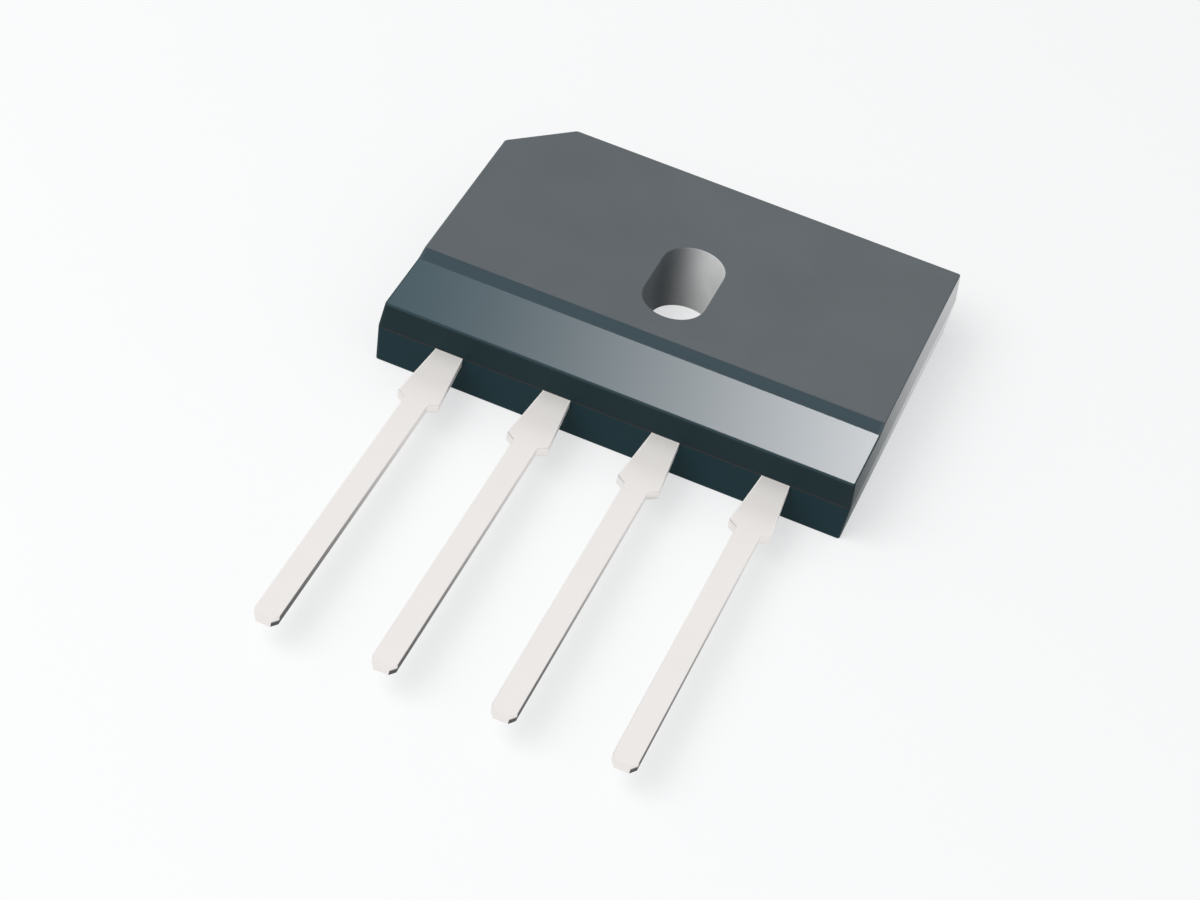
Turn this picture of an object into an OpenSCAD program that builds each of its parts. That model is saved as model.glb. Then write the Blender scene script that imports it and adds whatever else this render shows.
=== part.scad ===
// Flat moulded bridge rectifier with four in-line leads and a screw slot.
// The part lies on its heat-sink face. The origin is where the slot's centre
// line meets that face, +Z leaves the front face, and the leads point along -Y.

/* [Moulded body] */
// Width of the body at the parting line
body_width = 22.05; // [21:0.05:25]
// Height of the body from the lead end to the far end, at the parting line
body_height = 16.5; // [16:0.1:20]
// Thickness from the heat-sink face to the front face
body_thickness = 3.43; // [3.2:0.01:4.2]
// Height of the parting line above the heat-sink face
parting_height = 1.9; // [1.5:0.05:2.1]
// Draft of the walls in front of the parting line, in degrees
front_draft = 5; // [1:0.5:8]
// Draft of the walls behind the parting line, in degrees
back_draft = 3; // [1:0.5:8]
// Leg of the 45 degree chamfer that marks the positive end
corner_chamfer = 2.7; // [1.5:0.1:3.2]

/* [Ledge by the leads] */
// Length of the lowered ledge, from the lead end to the foot of the step
ledge_length = 3.8; // [2:0.1:4.5]
// Depth of the ledge below the front face
ledge_depth = 0.25; // [0.1:0.05:0.4]
// Length over which the step slopes up to the front face
step_run = 0.6; // [0.3:0.05:1]

/* [Mounting slot] */
// Width of the slot, which clears an M2.5 screw
slot_width = 2.9; // [2.7:0.1:3.8]
// Length of the slot from end to end
slot_length = 5.4; // [4.2:0.1:5.8]
// Distance from the far end of the body to the middle of the slot
slot_from_far_end = 8; // [7.9:0.1:8.4]

/* [Leads] */
// Distance between neighbouring leads
lead_pitch = 5.08; // [4.9:0.01:5.3]
// Thickness of the lead sheet
lead_thickness = 0.5; // [0.4:0.05:0.7]
// Length of a lead outside the body
lead_length = 18.5; // [10:0.5:20]
// Width of a lead where it leaves the body
lead_root_width = 1.3; // [1:0.05:1.6]
// Greatest width of the lead's shoulder
lead_shoulder_width = 1.9; // [1.7:0.05:2.2]
// Distance from the body to the widest place of the shoulder
lead_shoulder_length = 3.3; // [2:0.1:5]
// Length over which the shoulder narrows to the pin
lead_shoulder_taper = 0.3; // [0.1:0.05:0.8]
// Width of the pin that goes through the circuit board
lead_pin_width = 1.08; // [0.8:0.01:1.3]
// Width of the blunt end of the pin
lead_tip_width = 0.65; // [0.2:0.05:0.75]
// Length of the bevels at the end of the pin
lead_tip_length = 0.3; // [0.2:0.05:1]

/* [Pads inside] */
// Resin between the pads and the outer walls
edge_cover = 1.1; // [0.8:0.05:1.3]
// Resin between the pads and the wall of the slot
slot_cover = 1.2; // [0.8:0.05:1.3]
// Gap between neighbouring pads
pad_gap = 0.7; // [0.4:0.05:0.9]
// Length of the narrow neck between the lead end and the pads
neck_length = 1.5; // [1:0.1:1.7]
// Width of the neck
neck_width = 1.3; // [1:0.05:1.6]
// How far the negative pad goes on above the low row of pads
negative_pad_reach = 3; // [2:0.1:6]
// Diameter of the holes that lock the pads in the resin
lock_hole = 1; // [0.6:0.1:1.2]

/* [Dice, clips and solder] */
// Side of the square silicon dice
die_size = 2.3; // [1.8:0.1:2.5]
// Thickness of the dice
die_thickness = 0.25; // [0.2:0.01:0.35]
// Thickness of the solder joints
solder_thickness = 0.06; // [0.03:0.01:0.1]
// Side of the square solder joint between a clip and what it lands on
joint_size = 1.4; // [1:0.1:1.6]
// How far a joint stays inside the edge of the die or the clip
joint_inset = 0.15; // [0.05:0.01:0.2]
// Thickness of the copper clips
clip_thickness = 0.2; // [0.1:0.01:0.3]
// Length over which a clip slopes down to its foot
clip_slope_run = 0.6; // [0.4:0.05:0.8]

/* [Hidden] */
$fn = 48;
// How far a cutter runs past the faces that it cuts
overrun = 1;

// Ends of the body, measured from the middle of the slot
far_end = slot_from_far_end;
lead_end = slot_from_far_end - body_height;
half_width = body_width / 2;

// Levels from the heat-sink face up through the bridge inside
sheet_top = parting_height;
sheet_bottom = sheet_top - lead_thickness;
die_bottom = sheet_top + solder_thickness;
die_top = die_bottom + die_thickness;
clip_bottom = die_top + solder_thickness;
foot_bottom = sheet_top + solder_thickness;
ledge_level = body_thickness - ledge_depth;

// Columns of pads, beside the slot and by the side walls
inner_column = slot_width / 2 + slot_cover;
column_width = (half_width - edge_cover - inner_column - pad_gap) / 2;
outer_column = inner_column + column_width + pad_gap;
inner_middle = inner_column + column_width / 2;
outer_middle = outer_column + column_width / 2;
column_step = outer_middle - inner_middle;

// Rows of pads, below and above the slot
pads_start = lead_end + neck_length;
low_row_end = -slot_length / 2 - slot_cover;
low_row_middle = (pads_start + low_row_end) / 2;
high_row_start = slot_length / 2 + slot_cover;
high_row_end = far_end - edge_cover;
high_row_middle = (high_row_start + high_row_end) / 2;

// Outer two leads are half a pitch further out than the inner two
inner_lead = lead_pitch / 2;
outer_lead = lead_pitch * 3 / 2;

// Middle of each die
die_places = [[-outer_middle, 0],
              [inner_middle, high_row_middle],
              [-inner_middle, low_row_middle],
              [inner_middle, low_row_middle]];
// Middle of each place where a clip lands on a pad
foot_ac_1 = [-inner_middle, 0];
foot_ac_2 = [inner_middle, high_row_middle - column_step];
foot_negative = [outer_middle, low_row_middle];

// Reach of a clip beyond the middle of the joint at its end
clip_reach = joint_size / 2 + joint_inset;
clip_width = 2 * clip_reach;

// How far a drafted wall leans in at a height above the heat-sink face
function lean(height) =
    height > parting_height ? (height - parting_height) * tan(front_draft)
                            : (parting_height - height) * tan(back_draft);

// Flat plate between two opposite corners of its outline
module plate(low, high, bottom, thickness) {
    translate([low[0], low[1], bottom])
        cube([high[0] - low[0], high[1] - low[1], thickness]);
}

// Square plate on a middle point
module tile(middle, side, bottom, thickness) {
    plate([middle[0] - side / 2, middle[1] - side / 2],
          [middle[0] + side / 2, middle[1] + side / 2], bottom, thickness);
}

// ---- Moulded body ----

// Everything outside one drafted wall that faces angle and stands at distance
module beyond_wall(angle, distance) {
    low = -overrun;
    high = body_thickness + overrun;
    reach = body_width + body_height;
    rotate([90, 0, angle])
        translate([distance, 0, 0])
            linear_extrude(2 * reach, center = true)
                polygon([[-lean(low), low], [reach, low], [reach, high],
                         [-lean(high), high], [0, parting_height]]);
}

// Solid outline of the body, with its chamfered corner and its ledge
module body_outline() {
    chamfer_distance = (half_width + far_end - corner_chamfer) / sqrt(2);
    difference() {
        plate([-half_width, lead_end], [half_width, far_end], 0, body_thickness);
        beyond_wall(0, half_width);
        beyond_wall(180, half_width);
        beyond_wall(90, far_end);
        beyond_wall(270, -lead_end);
        beyond_wall(135, chamfer_distance);
        rotate([90, 0, 90])
            linear_extrude(2 * body_width, center = true)
                polygon([[lead_end - overrun, ledge_level],
                         [lead_end + ledge_length, ledge_level],
                         [lead_end + ledge_length + step_run, body_thickness],
                         [lead_end + ledge_length + step_run, body_thickness + overrun],
                         [lead_end - overrun, body_thickness + overrun]]);
    }
}

// Screw slot right through the body, along Y
module screw_slot() {
    end = (slot_length - slot_width) / 2;
    tall = body_thickness + 2 * overrun;
    plate([-slot_width / 2, -end], [slot_width / 2, end], -overrun, tall);
    for (side = [-1, 1])
        translate([0, side * end, -overrun])
            cylinder(d = slot_width, h = tall);
}

module moulded_body() {
    color("dimgray")
        difference() {
            body_outline();
            screw_slot();
            lead_positive();
            lead_ac(-1);
            lead_ac(1);
            lead_negative();
            for (i = [0:3]) {
                die(i);
                solder_under_die(i);
                solder_over_die(i);
            }
            clip_ac_1();
            clip_ac_2();
            clip_negative();
            solder_foot(foot_ac_1);
            solder_foot(foot_ac_2);
            solder_foot(foot_negative);
        }
}

// ---- Stamped leads ----

// Lead outside the body, with its shoulder, its pin and its bevelled tip,
// and its neck as far as the pads
module lead_blade(middle) {
    shoulder = lead_end - lead_shoulder_length;
    tip = lead_end - lead_length;
    right = [[lead_root_width / 2, lead_end],
             [lead_shoulder_width / 2, shoulder],
             [lead_pin_width / 2, shoulder - lead_shoulder_taper],
             [lead_pin_width / 2, tip + lead_tip_length],
             [lead_tip_width / 2, tip]];
    left = [for (i = [len(right) - 1:-1:0]) [-right[i][0], right[i][1]]];
    translate([middle, 0, sheet_bottom])
        linear_extrude(lead_thickness)
            polygon(concat(right, left));
    pad([middle - neck_width / 2, lead_end], [middle + neck_width / 2, pads_start]);
}

// Lead sheet between two corners of a pad
module pad(low, high) {
    plate(low, high, sheet_bottom, lead_thickness);
}

// Hole through a pad that the resin fills
module lock(middle) {
    translate([middle[0], middle[1], sheet_bottom - overrun])
        cylinder(d = lock_hole, h = lead_thickness + 2 * overrun);
}

// Positive lead: one column up the chamfered side and a bar over the slot
module lead_positive() {
    outer_edge = outer_column + column_width;
    // Leg of the pad's own chamfer, which leaves the same cover as its sides
    pad_chamfer = corner_chamfer - (2 - sqrt(2)) * edge_cover;
    color("gainsboro")
        difference() {
            union() {
                lead_blade(-outer_lead);
                pad([-outer_edge, pads_start], [-outer_column, high_row_end]);
                pad([-outer_column, high_row_start],
                    [inner_column + column_width, high_row_end]);
            }
            translate([-outer_edge, high_row_end, sheet_bottom - overrun])
                rotate([0, 0, 45])
                    translate([-body_width, -pad_chamfer / sqrt(2), 0])
                        cube([2 * body_width, body_width, lead_thickness + 2 * overrun]);
            lock([-outer_middle, low_row_middle]);
            lock([0, high_row_middle]);
        }
}

// Alternating-current lead on the side of the slot that side gives
module lead_ac(side) {
    color("gainsboro")
        mirror([side < 0 ? 1 : 0, 0, 0])
            difference() {
                union() {
                    lead_blade(inner_lead);
                    pad([pad_gap, pads_start], [inner_column + column_width, low_row_end]);
                    pad([inner_column, low_row_end],
                        [inner_column + column_width, high_row_start - pad_gap]);
                }
                lock([(pad_gap + inner_column) / 2, low_row_middle]);
            }
}

// Negative lead: a short pad by the side wall
module lead_negative() {
    pad_end = low_row_end + negative_pad_reach;
    color("gainsboro")
        difference() {
            union() {
                lead_blade(outer_lead);
                pad([outer_column, pads_start], [outer_column + column_width, pad_end]);
            }
            lock([outer_middle, low_row_end + negative_pad_reach / 2]);
        }
}

// ---- Silicon dice ----

module die(index) {
    color("slategray")
        tile(die_places[index], die_size, die_bottom, die_thickness);
}

// ---- Copper clips ----

// Clip along +X: it rests on dice at the given distances from its first
// joint and slopes down to a foot on a pad, a whole run away
module clip(run) {
    slope_end = run - clip_reach;
    slope_start = slope_end - clip_slope_run;
    color("chocolate")
        translate([0, clip_width / 2, 0])
            rotate([90, 0, 0])
                linear_extrude(clip_width)
                    polygon([[-clip_reach, clip_bottom],
                             [slope_start, clip_bottom],
                             [slope_end, foot_bottom],
                             [run + clip_reach, foot_bottom],
                             [run + clip_reach, foot_bottom + clip_thickness],
                             [slope_end, foot_bottom + clip_thickness],
                             [slope_start, clip_bottom + clip_thickness],
                             [-clip_reach, clip_bottom + clip_thickness]]);
}

module clip_ac_1() {
    translate([die_places[0][0], die_places[0][1], 0])
        clip(column_step);
}

module clip_ac_2() {
    translate([die_places[1][0], die_places[1][1], 0])
        rotate([0, 0, -90])
            clip(column_step);
}

// The long clip rests on both dice of the low row
module clip_negative() {
    translate([die_places[2][0], die_places[2][1], 0])
        clip(outer_middle + inner_middle);
}

// ---- Solder joints ----

module solder_under_die(index) {
    color("silver")
        tile(die_places[index], die_size - 2 * joint_inset, sheet_top, solder_thickness);
}

module solder_over_die(index) {
    color("silver")
        tile(die_places[index], joint_size, die_top, solder_thickness);
}

module solder_foot(middle) {
    color("silver")
        tile(middle, joint_size, sheet_top, solder_thickness);
}

moulded_body();
lead_positive();
lead_ac(-1);  // lead_ac_1
lead_ac(1);  // lead_ac_2
lead_negative();
clip_ac_1();
clip_ac_2();
clip_negative();
solder_foot(foot_ac_1);  // solder_foot_ac_1
solder_foot(foot_ac_2);  // solder_foot_ac_2
solder_foot(foot_negative);  // solder_foot_negative
for (i = [0:3]) {
    die(i);
    solder_under_die(i);
    solder_over_die(i);
}
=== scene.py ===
import math

import bmesh
import bpy
from mathutils import Matrix, Vector


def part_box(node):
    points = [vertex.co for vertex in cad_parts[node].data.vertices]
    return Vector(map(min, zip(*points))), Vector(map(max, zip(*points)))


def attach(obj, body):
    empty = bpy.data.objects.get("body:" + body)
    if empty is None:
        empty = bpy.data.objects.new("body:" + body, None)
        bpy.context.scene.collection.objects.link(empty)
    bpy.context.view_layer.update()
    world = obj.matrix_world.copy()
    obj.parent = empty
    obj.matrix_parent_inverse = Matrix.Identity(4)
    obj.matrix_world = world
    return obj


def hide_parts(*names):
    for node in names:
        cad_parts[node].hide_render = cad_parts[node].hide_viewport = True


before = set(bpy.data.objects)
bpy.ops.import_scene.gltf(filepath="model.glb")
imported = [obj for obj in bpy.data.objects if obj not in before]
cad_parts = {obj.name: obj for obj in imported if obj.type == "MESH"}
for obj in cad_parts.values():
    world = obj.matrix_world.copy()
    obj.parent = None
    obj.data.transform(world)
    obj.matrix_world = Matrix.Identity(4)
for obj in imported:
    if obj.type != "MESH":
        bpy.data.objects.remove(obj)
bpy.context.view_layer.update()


# ---- Leads ----
# Four leads stamped from copper sheet, each in one piece with its pad inside
# the body. They are tinned after moulding, and stay matt beside the body. The
# cut sides carry painted shade, darkest toward the tips, and so does the lower
# half of each right-facing face of the last crop.
MM = 0.001
LEADS = {
    "positive_lead": "lead_positive",
    "first_ac_lead": "lead_ac_1",
    "second_ac_lead": "lead_ac_2",
    "negative_lead": "lead_negative",
}
EDGE_ROLL = 0.06 * MM
ROLLED_ANGLE = math.radians(60)
ROLL_STEPS = 3
SAME_POINT = 0.0005 * MM
SAME_FACE = math.radians(0.5)
HAIR = 0.001 * MM

TIN_PALE = (0.905, 0.87, 0.845, 1)
TIN_DULL = (0.875, 0.84, 0.815, 1)
MATT_TIN = (0.9, 0.868, 0.84, 1)
# Painted shade on the cut sides, fading from the tips toward the body, and on the lower half
# of the right-facing crop faces.
PAINTED_SIDE_SHADE = (0.12, 0.12, 0.12, 1)
SIDE_SHADE_FADE = (-29 * MM, -10 * MM)
DIP_STOP = (-11.5 * MM, -9.5 * MM)
CROP_TURN = (0.5, 0.8)
SIDE_TURN = (0.9, 0.98)
CROP_SHADE_TOP = (1.62 * MM, 1.72 * MM)
ROLLING_STRETCH = (1, 0.04, 1)
ROLLING_LINES = 9000
TIN_CLOUDS = 700
TIN_RELIEF = 0.002 * MM


class Shade:
    """A node's output: sums on it add Math nodes, and node() adds any other."""

    def __init__(self, output):
        self.output = output
        self.tree = output.id_data

    def node(self, kind, settings, values, result=0):
        """Adds a node from its type, its settings and its sockets' values or links."""
        made = self.tree.nodes.new(kind)
        for name, setting in settings.items():
            setattr(made, name, setting)
        for name, value in values.items():
            if isinstance(value, Shade):
                self.tree.links.new(value.output, made.inputs[name])
            else:
                made.inputs[name].default_value = value
        return Shade(made.outputs[result]) if made.outputs else None

    def math(self, operation, *values):
        """Adds a Math node on these values."""
        return self.node("ShaderNodeMath", {"operation": operation}, dict(enumerate(values)))

    def __add__(self, other):
        return self.math("ADD", self, other)

    def __sub__(self, other):
        return self.math("SUBTRACT", self, other)

    def __rsub__(self, other):
        return self.math("SUBTRACT", other, self)

    def __mul__(self, other):
        return self.math("MULTIPLY", self, other)

    def __abs__(self):
        return self.math("ABSOLUTE", self)

    __radd__ = __add__
    __rmul__ = __mul__

    def larger(self, other):
        """The larger of the two."""
        return self.math("MAXIMUM", self, other)

    def rise(self, start, end):
        """0 below start, 1 above end, and a smooth slope between them."""
        return self.node("ShaderNodeMapRange", {"interpolation_type": "SMOOTHSTEP"},
                         {"Value": self, "From Min": start, "From Max": end})

    def blend(self, colour, other):
        """colour where this is 0, and the other where it is 1."""
        return self.node("ShaderNodeMix", {"data_type": "RGBA"},
                         {0: self, 6: colour, 7: other}, result=2)

    def part(self, axis):
        """This vector's part along an axis."""
        return self.node("ShaderNodeSeparateXYZ", {}, {0: self}, result=axis)

    def scaled(self, scale):
        """These coordinates, scaled along each axis."""
        return self.node("ShaderNodeMapping", {}, {"Vector": self, "Scale": scale})

    def grain(self, scale, detail):
        """Noise from 0 to 1 on these coordinates."""
        return self.node("ShaderNodeTexNoise", {},
                         {"Vector": self, "Scale": scale, "Detail": detail})


def first_shade(owner, kind, output):
    """Empties the nodes of a material, world or lamp, and gives its new first one."""
    owner.use_nodes = True
    owner.node_tree.nodes.clear()
    return Shade(owner.node_tree.nodes.new(kind).outputs[output])


def new_finish(name):
    """A material, and the object coordinates that its nodes start from."""
    material = bpy.data.materials.new(name)
    return material, first_shade(material, "ShaderNodeTexCoord", "Object")


def close_finish(place, height, depth, values):
    """Ends a material with its shader, and a bump of that depth in metres."""
    normal = place.node("ShaderNodeBump", {}, {"Height": height, "Distance": depth})
    shader = place.node("ShaderNodeBsdfPrincipled", {}, {**values, "Normal": normal})
    place.node("ShaderNodeOutputMaterial", {}, {"Surface": shader})


def welded_copy(node):
    """A CAD node's triangles, joined into whole flat faces."""
    bm = bmesh.new()
    bm.from_mesh(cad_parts[node].data)
    bmesh.ops.remove_doubles(bm, verts=bm.verts, dist=SAME_POINT)
    bmesh.ops.dissolve_limit(bm, angle_limit=SAME_FACE, use_dissolve_boundaries=False,
                             verts=bm.verts, edges=bm.edges, delimit={"NORMAL"})
    return bm


def middle(edge):
    """An edge's middle point."""
    return (edge.verts[0].co + edge.verts[1].co) / 2


def round_edges(bm, edges, offset, steps):
    """Rounds these edges and shades only the roundings smooth."""
    made = bmesh.ops.bevel(bm, geom=edges, offset=offset, offset_type="OFFSET", segments=steps,
                           profile=0.5, affect="EDGES", clamp_overlap=True, material=-1)
    for face in made["faces"]:
        face.smooth = True


def finished_piece(name, bm, material, node):
    """A piece from a bmesh, which stands for a CAD node."""
    mesh = bpy.data.meshes.new(name)
    bm.to_mesh(mesh)
    bm.free()
    mesh.materials.append(material)
    piece = bpy.data.objects.new(name, mesh)
    bpy.context.scene.collection.objects.link(piece)
    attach(piece, "root")
    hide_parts(node)
    return piece


tin, place = new_finish("satin_tin")
lines = place.scaled(ROLLING_STRETCH).grain(ROLLING_LINES, detail=3)
clouds = place.grain(TIN_CLOUDS, detail=2)
rightward = place.node("ShaderNodeNewGeometry", {}, {}, result="True Normal").part("X")
# Painted shade: the cut sides darken toward the tips, and so does the lower half of each
# right-facing crop face.
shaded_crop = rightward.rise(*CROP_TURN) * (1 - place.part("Z").rise(*CROP_SHADE_TOP))
shaded_sides = shaded_crop.larger(abs(rightward).rise(*SIDE_TURN))
along = place.part("Y")
side_shade = shaded_sides * (1 - along.rise(*SIDE_SHADE_FADE))
undipped = along.rise(*DIP_STOP)
plating = undipped.blend(clouds.blend(TIN_DULL, TIN_PALE), MATT_TIN)
close_finish(place, lines, TIN_RELIEF, {
    "Base Color": side_shade.blend(plating, PAINTED_SIDE_SHADE),
    "Metallic": (1 - side_shade) * (1 - 0.8 * undipped),
    "Roughness": 0.36 + 0.3 * side_shade + 0.2 * undipped + 0.06 * lines + 0.06 * clouds,
})

lead_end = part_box("moulded_body")[0].y
for name, node in LEADS.items():
    blade = welded_copy(node)
    bmesh.ops.bisect_plane(blade, geom=blade.verts[:] + blade.edges[:] + blade.faces[:],
                           plane_co=(0, lead_end, 0), plane_no=(0, -1, 0))
    outside = [edge for edge in blade.edges
               if middle(edge).y < lead_end - HAIR and edge.calc_face_angle() > ROLLED_ANGLE]
    round_edges(blade, outside, EDGE_ROLL, ROLL_STEPS)
    bmesh.ops.remove_doubles(blade, verts=blade.verts, dist=SAME_POINT)
    bmesh.ops.dissolve_degenerate(blade, dist=SAME_POINT, edges=blade.edges)
    finished_piece(name, blade, tin, node)


# ---- Dice ----
# Four glass-passivated silicon diodes, sawn square. Nickel covers the top and
# the bottom, where they are soldered, and bare silicon shows at their sides.
SILICON = (0.045, 0.05, 0.06, 1)
NICKEL = (0.6, 0.58, 0.54, 1)
CONTACT_TURN = (0.4, 0.6)
SAW_MARKS = 30000
SAW_RELIEF = 0.002 * MM


def finish_nodes(start, material):
    """Gives a material to the CAD nodes whose names start so."""
    for name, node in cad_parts.items():
        if name.startswith(start):
            node.material_slots[0].material = material


silicon, place = new_finish("sawn_silicon")
upward = place.node("ShaderNodeNewGeometry", {}, {}, result="Normal").part("Z")
contact = abs(upward).rise(*CONTACT_TURN)
saw_marks = place.grain(SAW_MARKS, detail=2)
close_finish(place, saw_marks, SAW_RELIEF, {
    "Base Color": contact.blend(SILICON, NICKEL),
    "Metallic": 0.2 + 0.8 * contact,
    "Roughness": 0.22 + 0.2 * saw_marks,
})
finish_nodes("die_", silicon)


# ---- Clips ----
# Three clips cut and cranked from thin copper strip. They join the tops of
# the dice to the next pads, and are soldered at both ends.
COPPER_BRIGHT = (0.82, 0.42, 0.27, 1)
COPPER_DULL = (0.62, 0.27, 0.15, 1)
DULL_PATCHES = 1500
PATCH_EDGE = (0.3, 0.7)
STRIP_STRETCH = (0.05, 1, 1)
STRIP_LINES = 15000
STRIP_RELIEF = 0.002 * MM

copper, place = new_finish("copper_strip")
brightness = place.grain(DULL_PATCHES, detail=4).rise(*PATCH_EDGE)
strip_lines = place.scaled(STRIP_STRETCH).grain(STRIP_LINES, detail=2)
close_finish(place, strip_lines, STRIP_RELIEF, {
    "Base Color": brightness.blend(COPPER_DULL, COPPER_BRIGHT),
    "Metallic": 1.0,
    "Roughness": 0.25 + 0.2 * strip_lines,
})
finish_nodes("clip_", copper)


# ---- Solder joints ----
# Eleven thin joints of high-melting solder, under the dice, over them and
# under the feet of the clips. They set with a dull, grainy skin.
SOLDER_PALE = (0.66, 0.66, 0.68, 1)
SOLDER_DARK = (0.44, 0.44, 0.47, 1)
SOLDER_CRYSTALS = 9000
SOLDER_RELIEF = 0.006 * MM

solder, place = new_finish("dull_solder")
crystals = place.node("ShaderNodeTexVoronoi", {}, {"Vector": place, "Scale": SOLDER_CRYSTALS})
close_finish(place, crystals, SOLDER_RELIEF, {
    "Base Color": crystals.blend(SOLDER_PALE, SOLDER_DARK),
    "Metallic": 1.0,
    "Roughness": 0.38 + 0.2 * crystals,
})
finish_nodes("solder_", solder)


# ---- Moulded body ----
# One transfer moulding of grey epoxy round the soldered bridge. The spark
# eroded cavity leaves the front matt, and the rest of the mould leaves the
# ledge and the walls smooth, with a line of flash. The ledge, the step and the
# walls carry painted shade, darker and bluer than the front, and the right
# side of the slot carries painted light.
RESIN_MATT_LOW = (0.109, 0.125, 0.134, 1)
RESIN_MATT_HIGH = (0.117, 0.134, 0.143, 1)
# Painted shade: the walls, the step and the ledge take darker, bluer colours than the front,
# the lower half of the walls bluer still.
UPPER_WALL_PAINTED_SHADE = (0.011, 0.028, 0.034, 1)
LOWER_WALL_PAINTED_SHADE = (0.006, 0.034, 0.044, 1)
STEP_PAINTED_SHADE = (0.047, 0.073, 0.088, 1)
LEDGE_PAINTED_SHADE = (0.005, 0.035, 0.046, 1)
# Painted light: a pale colour on the right side of the slot wall.
SLOT_PAINTED_LIGHT = (0.8, 0.8, 0.8, 1)
FLASH_BROWN = (0.045, 0.036, 0.034, 1)
FRONT_LEVEL = 3.42 * MM
FRONT_START = -4.15 * MM
LEDGE_LEVEL = 3.1 * MM
LEDGE_END = -4.72 * MM
LEDGE_RIM = (10.83 * MM, 10.86 * MM)
PARTING_LEVEL = 1.9 * MM
FLASH_HALF_WIDTH = 0.02 * MM
SLOT_REACH_SQUARED = (3.4 * MM) ** 2
SLOT_FADE = 1.1
SLOT_LIGHT_RISE = (-1.5 * MM, 0.5 * MM)
END_FACE = 10.75 * MM
END_POLISH = (-14 * MM, 5 * MM)
FADE = 0.02 * MM
SPARK_GRAIN = 14000
FLOW_CLOUDS = 260
CLOUD_EDGE = (0.3, 0.7)
WALL_GRAIN = 0.04
FLASH_STAIN = 0.8
LEDGE_COAT = 0.6
RESIN_RELIEF = 0.006 * MM

CORNER_RADIUS = 0.12 * MM
CORNER_STEPS = 4
CORNER_ANGLE = math.radians(30)
CORNER_CLIMB = 0.8 * MM
RIM_RADIUS = 0.06 * MM
RIM_STEPS = 3
RIM_ANGLE = math.radians(15)
RIM_CLIMB = 0.3 * MM
WALL_LEAN = 0.3 * MM
END_WALL_LEAN = 0.1 * MM
CHAMFER_REACH = 14 * MM
LEAD_HOLE_BOTTOM = 1.3 * MM
LEAD_HOLE_TOP = PARTING_LEVEL + 0.01 * MM
LEAD_HOLE_WIDTH = 2 * MM

resin, place = new_finish("moulded_epoxy")
x, y, z = (place.part(axis) for axis in "XYZ")
above_step = y.rise(FRONT_START, FRONT_START + FADE)
face = z.rise(FRONT_LEVEL - FADE, FRONT_LEVEL) * above_step
near_front = z.rise(LEDGE_LEVEL - FADE, LEDGE_LEVEL)
lowered = near_front * (1 - above_step)
ledge = near_front * (1 - y.rise(LEDGE_END, LEDGE_END + FADE))
outer_wall = (x * x + y * y).rise(SLOT_REACH_SQUARED, SLOT_FADE * SLOT_REACH_SQUARED)
matt = face.larger(1 - outer_wall)
# Painted light on the right side of the slot wall, which also takes a coat.
slot_painted_light = (1 - outer_wall) * (1 - face) * x.rise(*SLOT_LIGHT_RISE)
end = abs(x).rise(END_FACE, END_FACE + FADE) * (1 - face) * (1 - ledge)
end_polish = y.rise(*END_POLISH)
ledge_polish = ledge * (1 - abs(x).rise(*LEDGE_RIM))
flash = outer_wall * (1 - abs(z - PARTING_LEVEL).rise(FLASH_HALF_WIDTH, 2 * FLASH_HALF_WIDTH))

spark_grain = place.grain(SPARK_GRAIN, detail=3)
flow_clouds = place.grain(FLOW_CLOUDS, detail=3)
matt_resin = flow_clouds.rise(*CLOUD_EDGE).blend(RESIN_MATT_LOW, RESIN_MATT_HIGH)
# Painted shade: darker, bluer colours on the walls, the step and the ledge than on the front.
upper_half = z.rise(PARTING_LEVEL - FADE, PARTING_LEVEL)
wall_painted_shade = upper_half.blend(LOWER_WALL_PAINTED_SHADE, UPPER_WALL_PAINTED_SHADE)
skin = lowered.blend(matt.blend(wall_painted_shade, matt_resin), ledge.blend(STEP_PAINTED_SHADE, LEDGE_PAINTED_SHADE))
skin = slot_painted_light.blend(skin, SLOT_PAINTED_LIGHT)
grain_share = WALL_GRAIN + (1 - WALL_GRAIN) * matt
close_finish(place, spark_grain * grain_share + flash, RESIN_RELIEF, {
    "Base Color": (FLASH_STAIN * flash).blend(skin, FLASH_BROWN),
    "Roughness": (0.28 + 0.3 * matt + 0.1 * spark_grain - 0.12 * ledge + 0.2 * flash
                  + 0.6 * end * (1 - end_polish)),
    "Specular IOR Level": 0.15,
    "Coat Weight": LEDGE_COAT * ledge_polish + slot_painted_light + end * end_polish,
    "Coat Roughness": 0.12,
})

body = welded_copy("moulded_body")
low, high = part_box("moulded_body")


def extent(edge):
    """How far an edge reaches along each axis."""
    return Vector([abs(reach) for reach in edge.verts[0].co - edge.verts[1].co])


def on_outside(edge):
    """True for an edge of the outer walls or of the slot, not of the cavities."""
    spot = middle(edge)
    lead_hole = (spot.y < low.y + END_WALL_LEAN
                 and LEAD_HOLE_BOTTOM < spot.z < LEAD_HOLE_TOP
                 and extent(edge).x < LEAD_HOLE_WIDTH)
    flat = spot.z < HAIR or spot.z > LEDGE_LEVEL
    wall = (spot.x < low.x + WALL_LEAN or spot.x > high.x - WALL_LEAN
            or spot.y < low.y + WALL_LEAN or spot.y > high.y - WALL_LEAN
            or spot.y - spot.x > CHAMFER_REACH)
    return (flat or wall) and not lead_hole


corners = [edge for edge in body.edges
           if on_outside(edge) and edge.calc_face_angle() > CORNER_ANGLE
           and extent(edge).z > CORNER_CLIMB]
round_edges(body, corners, CORNER_RADIUS, CORNER_STEPS)
rims = [edge for edge in body.edges
        if on_outside(edge) and edge.calc_face_angle() > RIM_ANGLE
        and extent(edge).z < RIM_CLIMB]
round_edges(body, rims, RIM_RADIUS, RIM_STEPS)
epoxy_body = finished_piece("epoxy_body", body, resin, "moulded_body")


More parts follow.
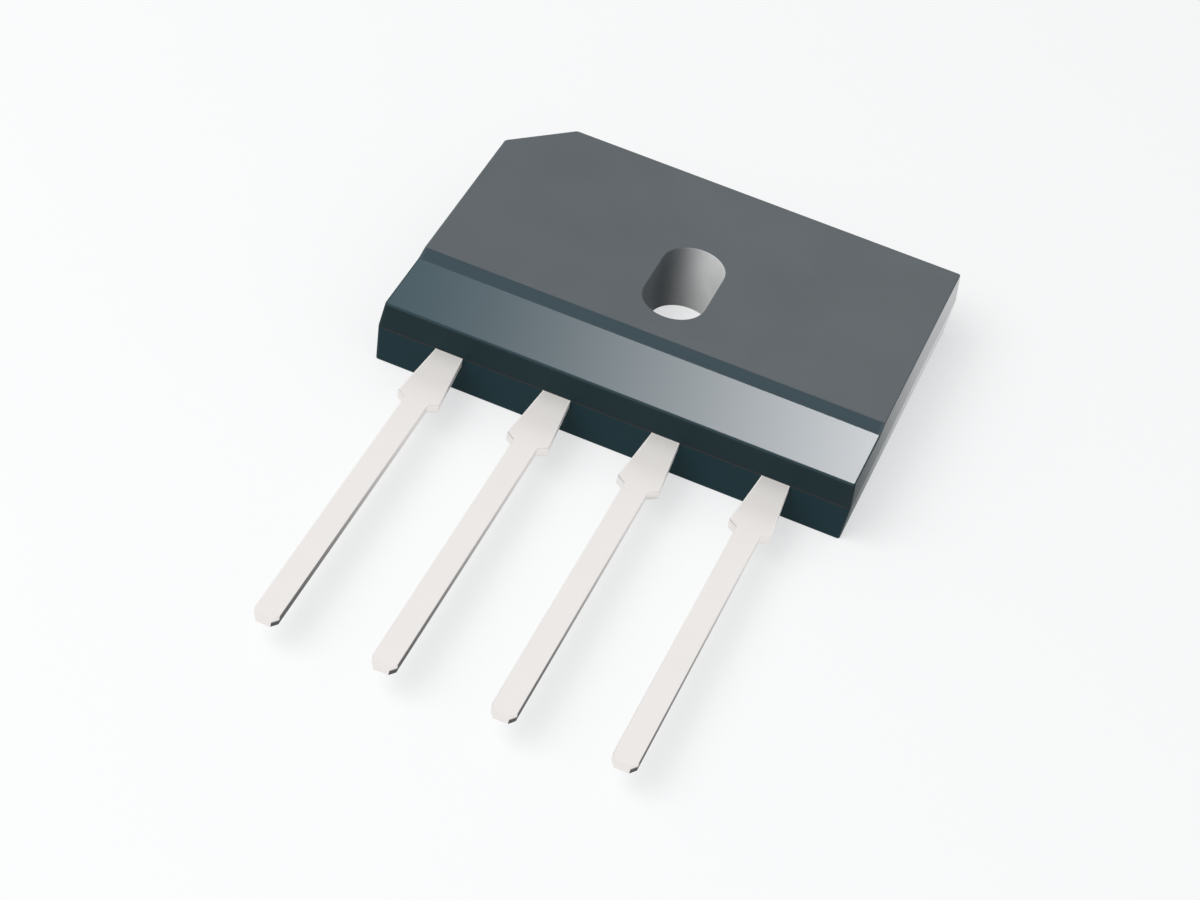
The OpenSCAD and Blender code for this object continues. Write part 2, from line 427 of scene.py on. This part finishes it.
# ---- Studio ----
# A pale floor under a pale surround, and a wide soft box at the front on the
# left. A small graded box beyond the far end lights the body alone, and gives
# the polished ledge its sheen, from dark on the left to pale on the right.
FLOOR_COLOUR = (0.42, 0.42, 0.42, 1)
SURROUND_COLOUR = (0.955, 0.965, 0.972, 1)
FLOOR_GLOW = 0.61
FILL = 0.45
FLOOR_HALF_SIDE = 2.0
KEY_PLACE, KEY_AIM = (-0.14, -0.16, 0.27), (0, -0.005, 0)
KEY_SIDES, KEY_POWER = (0.3, 0.26), 0.78
SHEEN_PLACE, SHEEN_AIM = (-0.008, 0.06, 0.0593), (-0.008, -0.0066, 0.0032)
SHEEN_SIDES, SHEEN_POWER = (0.056, 0.022), 0.083
SHEEN_DARK = (0.01, 0.02, 0.028, 1)
SHEEN_PALE = (1, 0.985, 1, 1)


def seen_directly(owner):
    """Starts nodes with 1 for what the camera sees, straight or in gloss or glass, else 0."""
    camera = first_shade(owner, "ShaderNodeLightPath", "Is Camera Ray")
    gloss, glass = (Shade(camera.output.node.outputs[f"Is {ray} Ray"])
                    for ray in ("Glossy", "Transmission"))
    return camera.larger(gloss).larger(glass)


floor_finish = bpy.data.materials.new("pale_floor")
seen = seen_directly(floor_finish)
diffuse = seen.node("ShaderNodeBsdfDiffuse", {}, {"Color": FLOOR_COLOUR})
glow = seen.node("ShaderNodeEmission", {}, {
    "Color": SURROUND_COLOUR, "Strength": FLOOR_GLOW * seen})
floor_surface = seen.node("ShaderNodeAddShader", {}, {0: diffuse, 1: glow})
seen.node("ShaderNodeOutputMaterial", {}, {"Surface": floor_surface})

floor_mesh = bpy.data.meshes.new("floor")
bm = bmesh.new()
bmesh.ops.create_grid(bm, x_segments=1, y_segments=1, size=FLOOR_HALF_SIDE)
bm.to_mesh(floor_mesh)
bm.free()
floor_mesh.materials.append(floor_finish)
floor = bpy.data.objects.new("floor", floor_mesh)
bpy.context.scene.collection.objects.link(floor)

world = bpy.data.worlds.new("surround")
bpy.context.scene.world = world
seen = seen_directly(world)
background = seen.node("ShaderNodeBackground", {}, {
    "Color": SURROUND_COLOUR, "Strength": FILL + (1 - FILL) * seen})
seen.node("ShaderNodeOutputWorld", {}, {"Surface": background})


def soft_box(name, place, aim, sides, power):
    """A rectangular lamp at a place, turned to an aim, out of the camera's sight."""
    lamp = bpy.data.lights.new(name, "AREA")
    lamp.shape = "RECTANGLE"
    lamp.size, lamp.size_y = sides
    lamp.energy = power
    box = bpy.data.objects.new(name, lamp)
    box.location = place
    box.rotation_mode = "QUATERNION"
    box.rotation_quaternion = (Vector(aim) - Vector(place)).to_track_quat("-Z", "Y")
    box.visible_camera = False
    bpy.context.scene.collection.objects.link(box)
    return box


key_box = soft_box("key_box", KEY_PLACE, KEY_AIM, KEY_SIDES, KEY_POWER)
key_box.visible_glossy = False

sheen_box = soft_box("sheen_box", SHEEN_PLACE, SHEEN_AIM, SHEEN_SIDES, SHEEN_POWER)
sheen_box.visible_diffuse = False
leftward = first_shade(sheen_box.data, "ShaderNodeNewGeometry", "Parametric").part("X")
graded = leftward.node("ShaderNodeEmission", {}, {
    "Color": ((1 - leftward) * (1 - leftward)).blend(SHEEN_DARK, SHEEN_PALE)})
leftward.node("ShaderNodeOutputLight", {}, {"Surface": graded})
lit_by_sheen = bpy.data.collections.new("lit_by_sheen")
lit_by_sheen.objects.link(epoxy_body)
sheen_box.light_linking.receiver_collection = lit_by_sheen


# ---- Camera ----
# It looks down at the front face from the lead end, a little from the right,
# and leans to one side.
AZIMUTH, ELEVATION, LEAN = (math.radians(angle) for angle in (12.41, 41.02, 13.16))
CAMERA_PLACE = (0.0222, -0.10998, 0.09027)
SENSOR_WIDTH_MM, FOCAL_LENGTH_MM = 36.0, 95.34
NEAREST, FARTHEST = 0.005, 10.0

lens = bpy.data.cameras.new("camera")
lens.sensor_width, lens.lens = SENSOR_WIDTH_MM, FOCAL_LENGTH_MM
lens.clip_start, lens.clip_end = NEAREST, FARTHEST
camera = bpy.data.objects.new("camera", lens)
camera.matrix_world = (Matrix.Translation(CAMERA_PLACE) @ Matrix.Rotation(AZIMUTH, 4, "Z")
                       @ Matrix.Rotation(math.pi / 2 - ELEVATION, 4, "X")
                       @ Matrix.Rotation(LEAN, 4, "Z"))
bpy.context.scene.collection.objects.link(camera)
bpy.context.scene.camera = camera
bpy.context.scene.view_settings.view_transform = "Standard"
